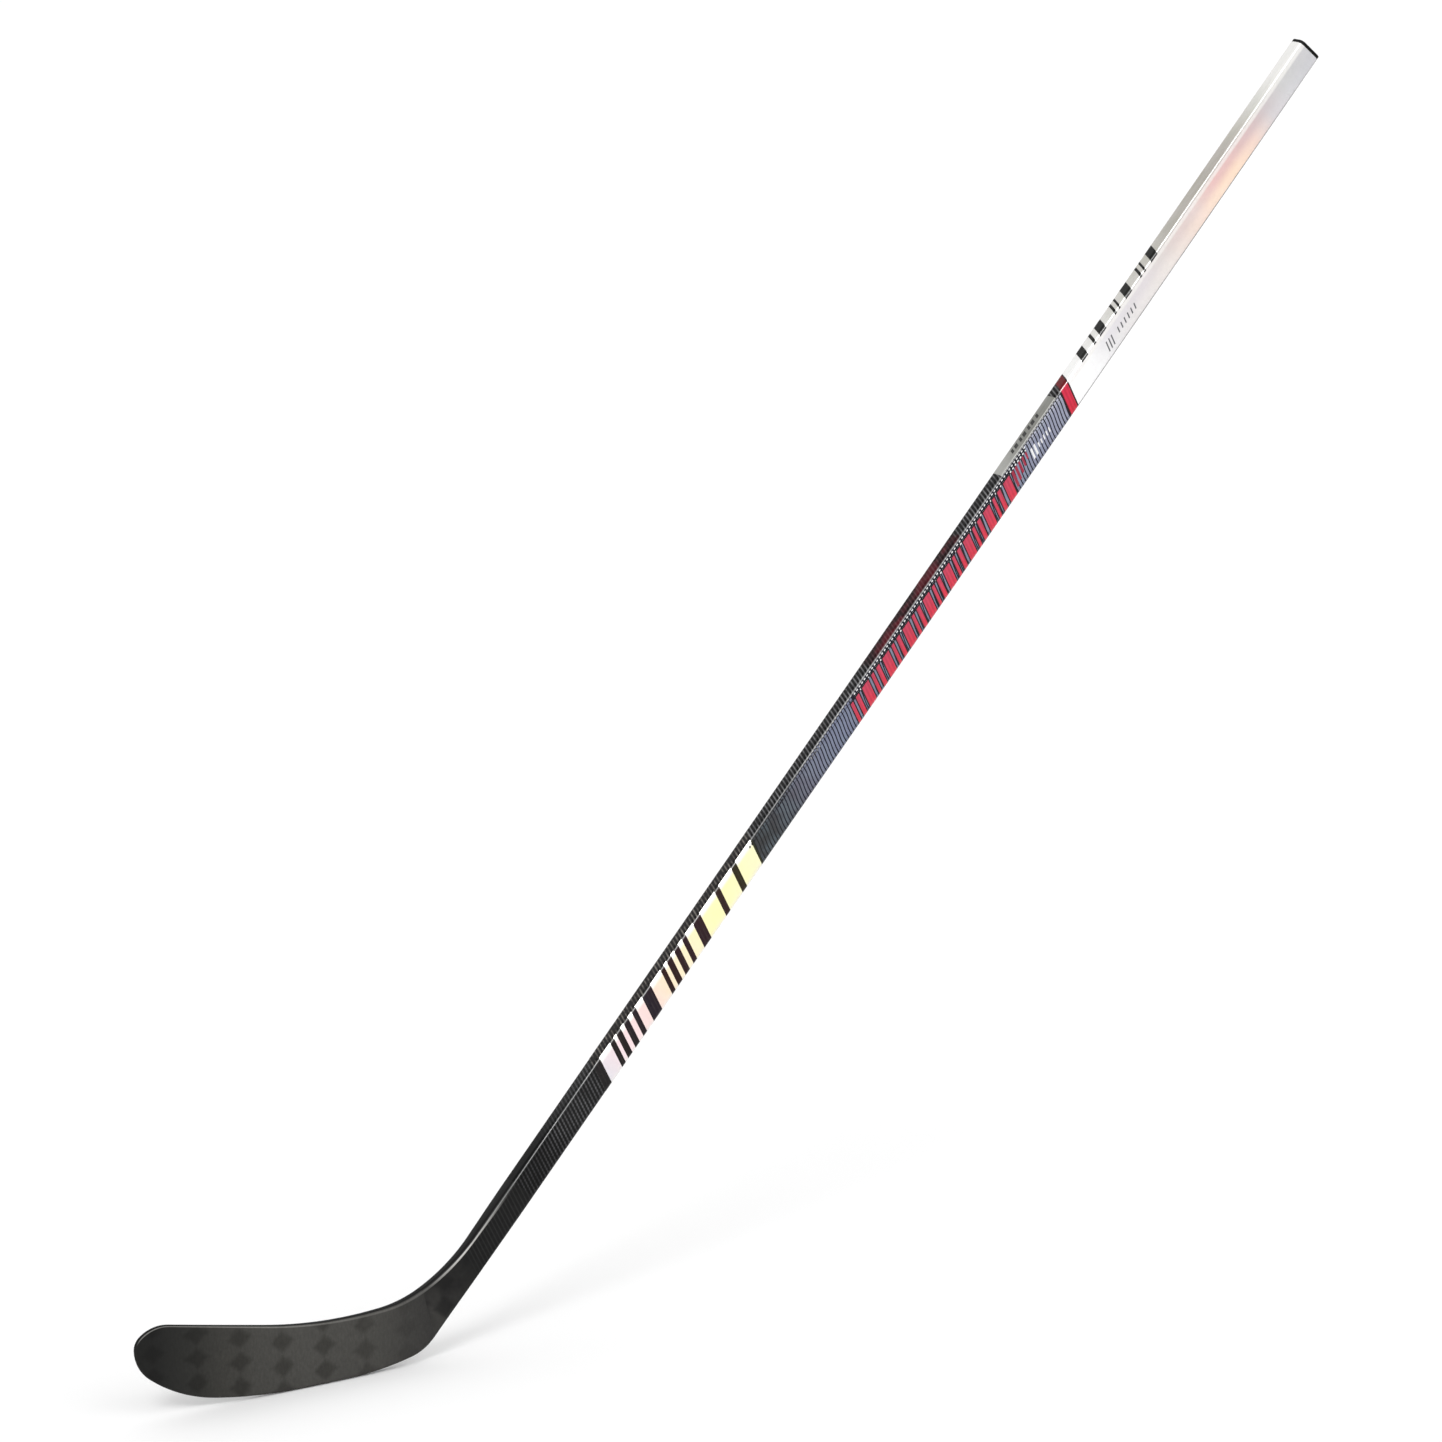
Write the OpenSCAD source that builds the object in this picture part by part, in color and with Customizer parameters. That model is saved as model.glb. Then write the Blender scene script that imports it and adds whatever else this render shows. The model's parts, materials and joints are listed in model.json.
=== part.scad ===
// Ice hockey stick, one-piece carbon composite, left-handed, at real size.
// The blade stands on the ice at z = 0, the shaft rises towards +X and the
// forehand side of the blade faces +Y. The origin is the middle of the flat
// stretch of the sole.

/* [Shaft] */
// Length along the middle of the shaft, from the ice line to the butt
stick_length = 1524; // [1400:2:1600]
// Lie: the angle between the shaft and the ice
lie_angle = 46.3; // [45:0.1:47]
// Width of the two wide sides of the shaft
shaft_wide = 28; // [27:0.2:30]
// Width of the two narrow sides of the shaft
shaft_narrow = 18.4; // [17.6:0.2:20]
// Radius of the four long corners of the shaft
corner_radius = 5.2; // [4.6:0.1:5.8]
// Wall of the moulded inner tube
tube_wall = 1.3; // [1:0.1:1.8]
// Thickness of the woven outer ply
ply_wall = 0.4; // [0.3:0.1:0.6]
// Height above the ice, along the shaft, where the hosel begins to thin
hosel_start = 200; // [190:2:230]

/* [Butt cap] */
// Thickness of the cap's plate
cap_plate = 3.5; // [1.5:0.5:4]
// Length of the cap's plug inside the shaft
cap_plug = 36; // [25:1:50]
// Wall of the hollow plug
cap_wall = 1.8; // [1.2:0.1:2.5]
// How far the plug body stands clear of the bore between its grip bands
cap_clearance = 0.25; // [0.1:0.05:0.5]

/* [Blade outline] */
// Radius of the heel
heel_radius = 47.5; // [44:0.5:52]
// Turn of the heel
heel_turn = 34; // [31:0.5:35]
// Radius of the rocker behind the flat of the sole
back_rocker_radius = 310; // [280:5:360]
// Length of the flat of the sole
sole_flat = 48.5; // [44:0.5:54]
// Radius of the rocker in front of the flat of the sole
front_rocker_radius = 440; // [420:1:480]
// Turn of the front rocker
front_rocker_turn = 10.5; // [9:0.1:11]
// Radius of the sole's rise to the toe
toe_rise_radius = 130.5; // [125:0.5:140]
// Turn of the rise to the toe
toe_rise_turn = 29.5; // [27:0.5:31]
// Radius of the lower half of the toe
toe_low_radius = 39; // [36:1:42]
// Radius of the upper half of the toe
toe_high_radius = 17; // [15:0.5:20]
// Radius where the toe goes over into the top edge
toe_top_radius = 32; // [26:1:36]
// Rise of the top edge towards the toe
top_edge_rise = 11.3; // [10:0.1:12]
// Radius where the top edge levels out
top_blend_radius = 440; // [410:10:470]
// Turn of that levelling
top_blend_turn = 15.2; // [14:0.1:16]
// Radius of the inner bend, on the blade
inner_bend_radius = 118; // [112:1:124]
// Radius of the inner bend, on the hosel
hosel_bend_radius = 180; // [170:2:190]

/* [Blade section] */
// Thickness at the seam between the hosel and the blade
seam_thickness = 12.5; // [11:0.5:14]
// Thickness at the toe
toe_thickness = 5.6; // [5:0.2:7]
// Edge rounding as a share of the blade's thickness
edge_share = 0.38; // [0.3:0.01:0.44]
// How far the toe curves towards the forehand side
toe_curve = 15; // [8:0.5:18]
// Loft of the face at the toe
toe_loft = 4; // [0:0.5:6]
// Width of the rail round the edge of the blade
rail_width = 7; // [6:0.5:9]
// Thickness of each face ply
face_ply = 1.1; // [0.8:0.1:1.4]
// Wall of the hosel laminate
hosel_wall = 2.3; // [1.8:0.1:2.8]
// Length of the tenon that runs up inside the shaft
tenon_length = 70; // [50:5:100]

/* [Prints] */
// Thickness of a printed film
film = 0.12; // [0.08:0.02:0.2]
// Slant of the prints across the wide sides
print_slant = 22; // [18:0.5:27]
// Slant of the prints across the narrow sides
narrow_slant = 18; // [8:0.5:20]
// End of the pearl film, from the butt
pearl_end = 407; // [386:1:410]
// Length of the red band
band_length = 13; // [8:1:16]
// End of the pinstripe film, from the butt
pinstripe_end = 938; // [900:1:940]
// Start of the foil blocks, from the butt
foil_start = 945; // [944:1:970]
// Length of one foil block
foil_length = 78; // [60:1:84]
// Pitch of the foil blocks
foil_pitch = 86; // [86:1:92]
// Start of the red blocks, from the butt
red_start = 520; // [520:1:540]
// Pitch of the red blocks
red_pitch = 33.5; // [30:0.5:40]
// Length of one red block
red_length = 28; // [20:1:29]
// Start of the row of ticks beside the front corner, from the butt
tick_start = 482; // [470:1:500]
// Pitch of the ticks
tick_pitch = 4.2; // [4:0.1:4.6]

/* [Hidden] */
$fn = 48;

// Steps along each stretch of the outline
hosel_steps = 20;
heel_steps = 9;
rocker_steps = 6;
flat_steps = 3;
rise_steps = 8;
nose_steps = 6;
top_nose_steps = 4;
top_line_steps = 9;
blend_steps = 6;
bend_steps = 13;
// Stations along the blade, and rows between its two edges at the toe
blade_steps = heel_steps + 2 * rocker_steps + flat_steps + rise_steps;
nose_rows = 2 * nose_steps;
// Rows of the blade that the two foam cores take, with the rib between them
lower_rows = 5;
rib_rows = 2;
edge_arc_steps = 4;

// Directions in the blade's plane: up the shaft, and square to it, to the toe side
shaft_dir = [cos(lie_angle), sin(lie_angle)];
front_dir = [-sin(lie_angle), cos(lie_angle)];
bore_wide = shaft_wide - 2 * (tube_wall + ply_wall);
bore_narrow = shaft_narrow - 2 * (tube_wall + ply_wall);
bore_radius = corner_radius - tube_wall - ply_wall;

// ---- Outline of the blade, as a chain of straight lines and tangent arcs ----
// A step is [length, 0, points] for a line, or [radius, turn, points] for an arc
// whose turn is positive to the left.

function heading(angle) = [cos(angle), sin(angle)];
function left_of(angle) = [-sin(angle), cos(angle)];
function advance(step, angle, share) =
    step[1] == 0
        ? step[0] * share * heading(angle)
        : step[0] * sign(step[1]) * (left_of(angle) - left_of(angle + step[1] * share));

// Every point of a chain after its start, each with the heading there
function chain_points(chain, start, angle, first = 0) =
    first >= len(chain)
        ? []
        : let (
            step = chain[first],
            stop = start + advance(step, angle, 1)
        ) concat(
            [for (i = [1:step[2]]) [
                start + advance(step, angle, i / step[2]),
                angle + step[1] * i / step[2]
            ]],
            chain_points(chain, stop, angle + step[1], first + 1)
        );

back_rocker_turn = lie_angle - heel_turn;
toe_low_turn = 90 - front_rocker_turn - toe_rise_turn;
toe_high_turn = 90 + top_edge_rise;
nose_high_turn = 50;
inner_bend_turn = lie_angle + top_edge_rise - top_blend_turn;
// Share of the inner bend that belongs to the hosel
seam_turn = 22;

heel_drop = advance([heel_radius, -heel_turn], 180 + lie_angle, 1)
    + advance([back_rocker_radius, -back_rocker_turn], 180 + back_rocker_turn, 1);
hosel_top_back = shaft_dir * hosel_start - front_dir * shaft_wide / 2;
// The back of the hosel is straight down to the height of the heel's arcs
hosel_back_length = (hosel_top_back[1] + heel_drop[1]) / sin(lie_angle);
seam_back = hosel_top_back - shaft_dir * hosel_back_length;

sole_chain = [
    [heel_radius, -heel_turn, heel_steps],
    [back_rocker_radius, -back_rocker_turn, rocker_steps],
    [sole_flat, 0, flat_steps],
    [front_rocker_radius, -front_rocker_turn, rocker_steps],
    [toe_rise_radius, -toe_rise_turn, rise_steps]
];
nose_chain = [
    [toe_low_radius, -toe_low_turn, nose_steps],
    [toe_high_radius, -nose_high_turn, nose_steps]
];
sole_points = concat(
    [[seam_back, 180 + lie_angle]],
    chain_points(sole_chain, seam_back, 180 + lie_angle)
);
toe_corner = sole_points[len(sole_points) - 1];
nose_points = chain_points(nose_chain, toe_corner[0], toe_corner[1]);
top_corner = nose_points[len(nose_points) - 1];
top_arc = [toe_top_radius, nose_high_turn - toe_high_turn, top_nose_steps];
top_blend = [top_blend_radius, top_blend_turn, blend_steps];
blade_bend = [inner_bend_radius, inner_bend_turn - seam_turn, bend_steps];
hosel_bend = [hosel_bend_radius, seam_turn, 1];
// The straight of the top edge has the length that brings the inner bend out
// tangent to the front of the shaft
bend_advance = advance(top_blend, -top_edge_rise, 1)
    + advance(blade_bend, top_blend_turn - top_edge_rise, 1)
    + advance(hosel_bend, lie_angle - seam_turn, 1);
top_arc_end = top_corner[0] + advance(top_arc, top_corner[1], 1);
top_line_length = (shaft_wide / 2 - front_dir * (top_arc_end + bend_advance))
    / (front_dir * heading(-top_edge_rise));
top_chain = [top_arc, [top_line_length, 0, top_line_steps], top_blend, blade_bend];
top_points = chain_points(top_chain, top_corner[0], top_corner[1]);
edge_points = concat(sole_points, nose_points, top_points);
edge_last = len(edge_points) - 1;
seam_front = edge_points[edge_last][0];
toe_tip = min([for (point = edge_points) point[0][0]]);

// The origin goes to the middle of the sole's flat
flat_middle = (sole_points[heel_steps + rocker_steps][0][0]
    + sole_points[heel_steps + rocker_steps + flat_steps][0][0]) / 2;

// ---- Thickness, curve and loft of the blade ----

function toe_share(x) = max(0, min(1, x / toe_tip));
function seam_share(x) = max(0, min(1, (seam_back[0] - x) / (seam_back[0] - toe_tip)));
function blade_thickness(x) =
    toe_thickness + (seam_thickness - toe_thickness) * pow(1 - seam_share(x), thinning);
// How fast the blade thins from the seam on
thinning = 1.5;
// Height at which the lofted face keeps its place
loft_height = 32;
// Shift of the blade's middle surface towards the forehand side
function plan_offset(point) =
    toe_curve * pow(toe_share(point[0]), 2)
        - tan(toe_loft) * toe_share(point[0]) * (point[1] - loft_height);
function in_space(point, y) = [point[0], plan_offset(point) + y, point[1]];
flat_offset = plan_offset([flat_middle, 0]);

// ---- The blade's rail: an edge section carried round the outline ----

seam_line = (seam_front - seam_back) / norm(seam_front - seam_back);
function inward(index) = left_of(edge_points[index][1] + 180);
// Near the seam the section turns to lie in the seam's own plane
turn_in_steps = 6;
function section_dir(index) =
    let (
        near = min(1, min(index, edge_last - index) / turn_in_steps),
        along = index < edge_last / 2 ? seam_line : -seam_line,
        blend = along * (1 - near) + inward(index) * near
    ) blend / (blend * inward(index));
function inset(index, depth) = edge_points[index][0] + section_dir(index) * depth;

// Rounded edge of a plate: [depth in from the edge, place across the thickness]
function edge_profile(thickness, radius) = concat(
    [for (i = [edge_arc_steps:-1:0]) let (a = 90 * i / edge_arc_steps)
        [radius * (1 - cos(a)), -thickness / 2 + radius * (1 - sin(a))]],
    [for (i = [0:edge_arc_steps]) let (a = 90 * i / edge_arc_steps)
        [radius * (1 - cos(a)), thickness / 2 - radius * (1 - sin(a))]]
);
function rail_ring(index) =
    let (
        thickness = blade_thickness(edge_points[index][0][0]),
        profile = concat(
            [[rail_width, -thickness / 2]],
            edge_profile(thickness, thickness * edge_share),
            [[rail_width, thickness / 2]]
        )
    ) [for (p = profile) in_space(inset(index, p[0]), p[1])];

// ---- The blade's inside: a grid of rows and stations within the rail ----

function inner_sole(i) = inset(i, rail_width);
function inner_top(i) = inset(edge_last - i, rail_width);
function inner_nose(j) = inset(blade_steps + j, rail_width);
function inner_seam(j) = inner_sole(0) + (inner_top(0) - inner_sole(0)) * j / nose_rows;
function grid_point(i, j) =
    let (u = i / blade_steps, v = j / nose_rows)
    (1 - v) * inner_sole(i) + v * inner_top(i)
        + (1 - u) * inner_seam(j) + u * inner_nose(j)
        - (1 - u) * ((1 - v) * inner_sole(0) + v * inner_top(0))
        - u * ((1 - v) * inner_nose(0) + v * inner_nose(nose_rows));

// ---- Polyhedra ----

// A skin through closed rings of equal length, with both ends closed
module ring_solid(rings) {
    n = len(rings[0]);
    last = len(rings) - 1;
    sides = [for (r = [0:last - 1]) for (k = [0:n - 1])
        let (a = r * n + k, b = r * n + (k + 1) % n)
        for (face = [[a, a + n, b + n], [a, b + n, b]]) face];
    polyhedron(
        points = [for (ring = rings) each ring],
        faces = concat(
            [[for (k = [0:n - 1]) k]],
            sides,
            [[for (k = [n - 1:-1:0]) last * n + k]]
        )
    );
}

// A wall between an outer and an inner set of rings
module ring_wall(outer, inner) {
    n = len(outer[0]);
    last = len(outer) - 1;
    base = (last + 1) * n;
    function strip(a, b, c, d) = [[a, b, c], [a, c, d]];
    polyhedron(
        points = concat([for (ring = outer) each ring], [for (ring = inner) each ring]),
        faces = [
            for (k = [0:n - 1]) let (m = (k + 1) % n) each concat(
                [for (r = [0:last - 1]) each strip(
                    r * n + k, (r + 1) * n + k, (r + 1) * n + m, r * n + m)],
                [for (r = [0:last - 1]) each strip(
                    base + r * n + k, base + r * n + m,
                    base + (r + 1) * n + m, base + (r + 1) * n + k)],
                strip(k, m, base + m, base + k),
                strip(last * n + m, last * n + k,
                    base + last * n + k, base + last * n + m)
            )
        ]
    );
}

// A plate that fills rows first to last of the blade's grid, between two places
// across the thickness, each given as a share of it and a distance in from it
module grid_plate(first, last, low_side, low_depth, high_side, high_depth) {
    rows = last - first + 1;
    count = (blade_steps + 1) * rows;
    function level(side, depth) = [for (i = [0:blade_steps]) for (j = [first:last])
        let (
            point = grid_point(i, j),
            edge = j == 0 ? i : j == nose_rows ? edge_last - i
                : i == blade_steps ? blade_steps + j : -1,
            x = edge < 0 ? point[0] : edge_points[edge][0][0],
            half = blade_thickness(x) / 2
        ) in_space(point, side * (half - depth))];
    function cell(a, b, c, d) = [[a, b, c], [a, c, d]];
    polyhedron(
        points = concat(level(low_side, low_depth), level(high_side, high_depth)),
        faces = concat(
            [for (i = [0:blade_steps - 1]) for (j = [0:rows - 2])
                let (a = i * rows + j)
                each cell(a, a + 1, a + rows + 1, a + rows)],
            [for (i = [0:blade_steps - 1]) for (j = [0:rows - 2])
                let (a = count + i * rows + j)
                for (face = [[a, a + rows + 1, a + 1], [a, a + rows, a + rows + 1]])
                    face],
            [for (i = [0:blade_steps - 1]) let (a = i * rows)
                each cell(a, a + rows, a + rows + count, a + count)],
            [for (i = [0:blade_steps - 1]) let (a = i * rows + rows - 1)
                each cell(a, a + count, a + rows + count, a + rows)],
            [for (j = [0:rows - 2])
                each cell(j, j + count, j + 1 + count, j + 1)],
            [for (j = [0:rows - 2]) let (a = blade_steps * rows + j)
                each cell(a, a + 1, a + 1 + count, a + count)]
        )
    );
}

// ---- Hosel: sections between its straight back and its bending front ----

hosel_bend_start = seam_front + advance(hosel_bend, lie_angle - seam_turn, 1);
hosel_line = hosel_start - shaft_dir * hosel_bend_start;
hosel_bend_steps = 8;
hosel_line_steps = hosel_steps - hosel_bend_steps;
function hosel_front(i) =
    i <= hosel_line_steps
        ? hosel_bend_start + shaft_dir * hosel_line * (1 - i / hosel_line_steps)
        : hosel_bend_start + advance(
            [hosel_bend_radius, -seam_turn],
            180 + lie_angle,
            (i - hosel_line_steps) / hosel_bend_steps
        );
function hosel_back(i) = hosel_top_back - shaft_dir * hosel_back_length * i / hosel_steps;
function smooth(share) = share * share * (3 - 2 * share);
least_radius = 1;
function hosel_ring(i, depth) =
    let (
        share = smooth(i / hosel_steps),
        back = hosel_back(i),
        front = hosel_front(i),
        across = (front - back) / norm(front - back),
        thickness = shaft_narrow + (seam_thickness - shaft_narrow) * share,
        radius = corner_radius + (seam_thickness * edge_share - corner_radius) * share,
        profile = edge_profile(thickness - 2 * depth, max(radius - depth, least_radius))
    ) concat(
        [for (p = profile) in_space(back + across * (p[0] + depth), p[1])],
        [for (k = [len(profile) - 1:-1:0])
            in_space(front - across * (profile[k][0] + depth), profile[k][1])]
    );
function hosel_rings(depth) = [for (i = [0:hosel_steps]) hosel_ring(i, depth)];

// ---- Shaft pieces ----

module at_origin() {
    translate([-flat_middle, -flat_offset, 0])
        children();
}

// Local frame of the shaft: z runs up its middle from the ice line, x points to
// its back and y to the forehand side
module along_shaft() {
    at_origin() rotate([0, 90 - lie_angle, 0]) children();
}

module rounded_section(wide, narrow, radius) {
    square([wide, narrow - 2 * radius], center = true);
    square([wide - 2 * radius, narrow], center = true);
    for (x = [-1, 1]) for (y = [-1, 1])
        translate([x * (wide / 2 - radius), y * (narrow / 2 - radius)])
            circle(r = radius);
}

module shaft_section(out) {
    rounded_section(shaft_wide + 2 * out, shaft_narrow + 2 * out, corner_radius + out);
}

module tube(bottom, top, out, inner) {
    translate([0, 0, bottom]) linear_extrude(top - bottom) difference() {
        shaft_section(out);
        shaft_section(inner);
    }
}

tube_top = stick_length - cap_plate;

module shaft_tube() {
    color("#2b2b2d") along_shaft()
        tube(hosel_start, tube_top, -ply_wall, -ply_wall - tube_wall);
}

module shaft_outer_ply() {
    color("#1d1e20") along_shaft() tube(hosel_start, tube_top, 0, -ply_wall);
}

module plug_section(gap) {
    rounded_section(bore_wide - 2 * gap, bore_narrow - 2 * gap, bore_radius - gap);
}

// Raised bands of the plug that touch the bore, and the place of each in its third
grip_bands = 3;
grip_band_length = 3;
grip_band_place = 0.6;

module butt_cap() {
    color("#0f0f10") along_shaft() {
        translate([0, 0, tube_top]) linear_extrude(cap_plate) shaft_section(0);
        difference() {
            union() {
                translate([0, 0, tube_top - cap_plug])
                    linear_extrude(cap_plug) plug_section(cap_clearance);
                for (band = [0:grip_bands - 1])
                    translate([0, 0, tube_top - cap_plug * (band + grip_band_place) / grip_bands])
                        linear_extrude(grip_band_length) plug_section(0);
            }
            translate([0, 0, tube_top - cap_plug - 1])
                linear_extrude(cap_plug + 1) plug_section(cap_wall);
        }
    }
}

module blade_tenon() {
    color("#4b4b45") along_shaft() translate([0, 0, hosel_start])
        linear_extrude(tenon_length) plug_section(0);
}

// ---- Blade and hosel pieces ----

module hosel_laminate() {
    color("#19191b") at_origin() ring_wall(hosel_rings(0), hosel_rings(hosel_wall));
}

module heel_core() {
    color("#5a564c") at_origin() ring_solid(hosel_rings(hosel_wall));
}

module blade_edge_rail() {
    color("#232324") at_origin() ring_solid([for (i = [0:edge_last]) rail_ring(i)]);
}

module forehand_face_ply() {
    color("#3b3a38") at_origin() grid_plate(0, nose_rows, 1, face_ply, 1, 0);
}

module backhand_face_ply() {
    color("#3f3e3b") at_origin() grid_plate(0, nose_rows, -1, 0, -1, face_ply);
}

module core_plate(first, last) {
    grid_plate(first, last, -1, face_ply, 1, face_ply);
}

module lower_foam_core() {
    color("#d8cfae") at_origin() core_plate(0, lower_rows);
}

module core_bridge_rib() {
    color("#1c1c1e") at_origin() core_plate(lower_rows, lower_rows + rib_rows);
}

module upper_foam_core() {
    color("#d8cfae") at_origin() core_plate(lower_rows + rib_rows, nose_rows);
}

// ---- Prints: thin films round the shaft ----

// Half the flat part of a wide side
flat_half = shaft_wide / 2 - corner_radius;
// Thickness of a slanted cut for one unit of its height along the shaft
slant_share = cos(print_slant) * cos(narrow_slant);

module slanted() {
    rotate([narrow_slant, print_slant, 0]) children();
}

// A film from one distance to another below the butt, cut on the slant
module film_band(from, to, level) {
    middle = stick_length - (from + to) / 2;
    reach = (to - from) / 2 + tan(print_slant) * shaft_wide;
    intersection() {
        tube(middle - reach, middle + reach, film * (level + 1), film * level);
        translate([0, 0, middle]) slanted()
            cube([3 * shaft_wide, 2 * shaft_wide, (to - from) * slant_share], center = true);
    }
}

// A film cut to a four-cornered patch on one wide side, side -1 or 1, between two
// distances from the butt and two places across, x, and leaning with the slant
module wide_patch(from, to, x_low, x_high, side, level) {
    lean = tan(print_slant);
    top = stick_length - from;
    bottom = stick_length - to;
    intersection() {
        tube(bottom - shaft_wide, top + shaft_wide, film * (level + 1), film * level);
        translate([0, side * shaft_narrow / 2, 0]) rotate([90, 0, 0])
            linear_extrude(shaft_narrow - 2, center = true) polygon([
                [x_low, bottom - lean * x_low], [x_high, bottom - lean * x_high],
                [x_high, top - lean * x_high], [x_low, top - lean * x_low]
            ]);
    }
}

// A film cut to a four-cornered patch round the front narrow side
module narrow_patch(from, to, half, level) {
    lean = tan(narrow_slant);
    top = stick_length - from;
    bottom = stick_length - to;
    intersection() {
        tube(bottom - shaft_narrow, top + shaft_narrow, film * (level + 1), film * level);
        translate([-shaft_wide / 2, 0, 0]) rotate([90, 0, 90])
            linear_extrude(shaft_narrow, center = true) polygon([
                [-half, bottom - lean * half], [half, bottom + lean * half],
                [half, top + lean * half], [-half, top - lean * half]
            ]);
    }
}

module pearl_film() {
    color("#efeeee") along_shaft() intersection() {
        tube(stick_length - pearl_end - shaft_wide, tube_top, film, 0);
        translate([0, 0, stick_length - pearl_end]) slanted()
            translate([0, 0, stick_length / 2])
                cube([2 * stick_length, 2 * stick_length, stick_length], center = true);
    }
}

module red_band_film() {
    color("#d8203c") along_shaft() film_band(pearl_end, pearl_end + band_length, 0);
}

module pinstripe_film() {
    color("#8d8fa3") along_shaft()
        film_band(pearl_end + band_length, pinstripe_end, 0);
}

// Ends of the label, from the butt, and half its width
label_start = 425;
label_end = 517;
label_half = 7;

module side_label() {
    color("#9c9c98") along_shaft() narrow_patch(label_start, label_end, label_half, 1);
}

dark_count = 3;
dark_start = 249;
dark_pitch = 43;
dark_length = 38;
dark_half = 8;

module dark_block_prints() {
    color("#26262a") along_shaft() for (i = [0:dark_count - 1])
        narrow_patch(dark_start + dark_pitch * i, dark_start + dark_pitch * i + dark_length,
            dark_half, 1);
}

red_count = 8;
// The red blocks stop short of the front corner and run round the back one
red_front_gap = 3;
red_back_reach = 4.4;

module red_block_prints() {
    color("#e0334f") along_shaft() for (side = [-1, 1]) for (i = [0:red_count - 1])
        wide_patch(red_start + red_pitch * i, red_start + red_pitch * i + red_length,
            -flat_half + red_front_gap, flat_half + red_back_reach, side, 1);
}

// The ticks lie on the round of the front corner, just beside the wide side's flat
tick_count = 69;
tick_length = 2.1;
tick_outer = 2.6;
tick_inner = 0.8;

module corner_tick_prints() {
    color("#f4f4f4") along_shaft() for (side = [-1, 1]) for (i = [0:tick_count - 1])
        wide_patch(tick_start + tick_pitch * i, tick_start + tick_pitch * i + tick_length,
            -flat_half - tick_outer, -flat_half + tick_inner, side, 1);
}

foil_count = 3;
// How far the foil runs onto the corners
foil_reach = 2;

module foil_block_prints() {
    color("#f3efc4") along_shaft() for (side = [-1, 1]) for (i = [0:foil_count - 1])
        wide_patch(foil_start + foil_pitch * i, foil_start + foil_pitch * i + foil_length,
            -flat_half - foil_reach, flat_half + foil_reach, side, 0);
}

shaft_tube();
shaft_outer_ply();
butt_cap();
hosel_laminate();
blade_tenon();
heel_core();
blade_edge_rail();
forehand_face_ply();
backhand_face_ply();
lower_foam_core();
upper_foam_core();
core_bridge_rib();
pearl_film();
red_band_film();
pinstripe_film();
side_label();
dark_block_prints();
red_block_prints();
corner_tick_prints();
foil_block_prints();
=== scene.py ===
# Ice hockey stick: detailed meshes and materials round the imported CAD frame.
import json
import math

import bmesh
import bpy
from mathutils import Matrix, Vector


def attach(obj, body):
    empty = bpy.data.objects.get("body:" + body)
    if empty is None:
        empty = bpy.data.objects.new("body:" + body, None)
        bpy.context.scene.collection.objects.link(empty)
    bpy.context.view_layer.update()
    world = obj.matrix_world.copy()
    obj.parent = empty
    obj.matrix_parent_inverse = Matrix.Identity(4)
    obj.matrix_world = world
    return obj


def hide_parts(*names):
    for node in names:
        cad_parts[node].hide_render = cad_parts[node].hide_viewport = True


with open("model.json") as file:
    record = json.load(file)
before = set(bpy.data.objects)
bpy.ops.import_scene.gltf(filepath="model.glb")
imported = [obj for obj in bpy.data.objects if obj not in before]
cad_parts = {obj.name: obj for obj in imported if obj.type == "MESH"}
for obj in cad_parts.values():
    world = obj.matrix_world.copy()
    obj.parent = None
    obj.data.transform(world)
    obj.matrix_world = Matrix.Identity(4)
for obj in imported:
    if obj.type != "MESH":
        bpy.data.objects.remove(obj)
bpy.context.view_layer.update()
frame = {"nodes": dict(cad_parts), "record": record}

MM = 0.001

# ---- The shaft's own frame, from the record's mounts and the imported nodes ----

mounts = {mount["name"]: mount for mount in frame["record"]["mounts"]}
BUTT = Vector(mounts["butt_face"]["pos_m"])
UP = Vector(mounts["butt_face"]["axis"]).normalized()
BACK = Vector((UP.z, 0, -UP.x))
FOREHAND = Vector((0, 1, 0))
LIE = math.degrees(math.atan2(UP.z, UP.x))
LENGTH = BUTT.z / UP.z / MM
AXIS_FOOT = BUTT - UP * LENGTH * MM


def reach(node, direction):
    """Furthest place of a node from the middle of the shaft, in millimetres."""
    mesh = frame["nodes"][node].data
    return max((v.co - BUTT).dot(direction) for v in mesh.vertices) / MM


HALF_WIDE = round(reach("shaft_outer_ply", BACK), 2)
HALF_NARROW = round(reach("shaft_outer_ply", FOREHAND), 2)
SHAFT_END = -min(
    (v.co - BUTT).dot(UP) for v in frame["nodes"]["shaft_outer_ply"].data.vertices
) / MM
HOSEL_START = LENGTH - SHAFT_END
CORNER = 5.2
PLY_WALL = 0.4
TUBE_WALL = 1.3
CAP_PLATE = 3.5
CAP_PLUG = 36
CAP_WALL = 1.8

# Places round the shaft, in millimetres from the middle of the front narrow side:
# end of its flat, end of the front corner, end of the wide flat, end of the back
# corner, middle of the back narrow side. Positive places lie on the backhand side.
ARC = CORNER * math.pi / 2
S1 = HALF_NARROW - CORNER
S2 = S1 + ARC
S3 = S2 + 2 * (HALF_WIDE - CORNER)
S4 = S3 + ARC
S5 = S4 + S1
SIDES = (1, -1)

# Slant of the prints: how far they run down the shaft for each millimetre across
# the wide sides and across the narrow sides
LEAN_WIDE = math.tan(math.radians(22))
LEAN_NARROW = 0.35


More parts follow.
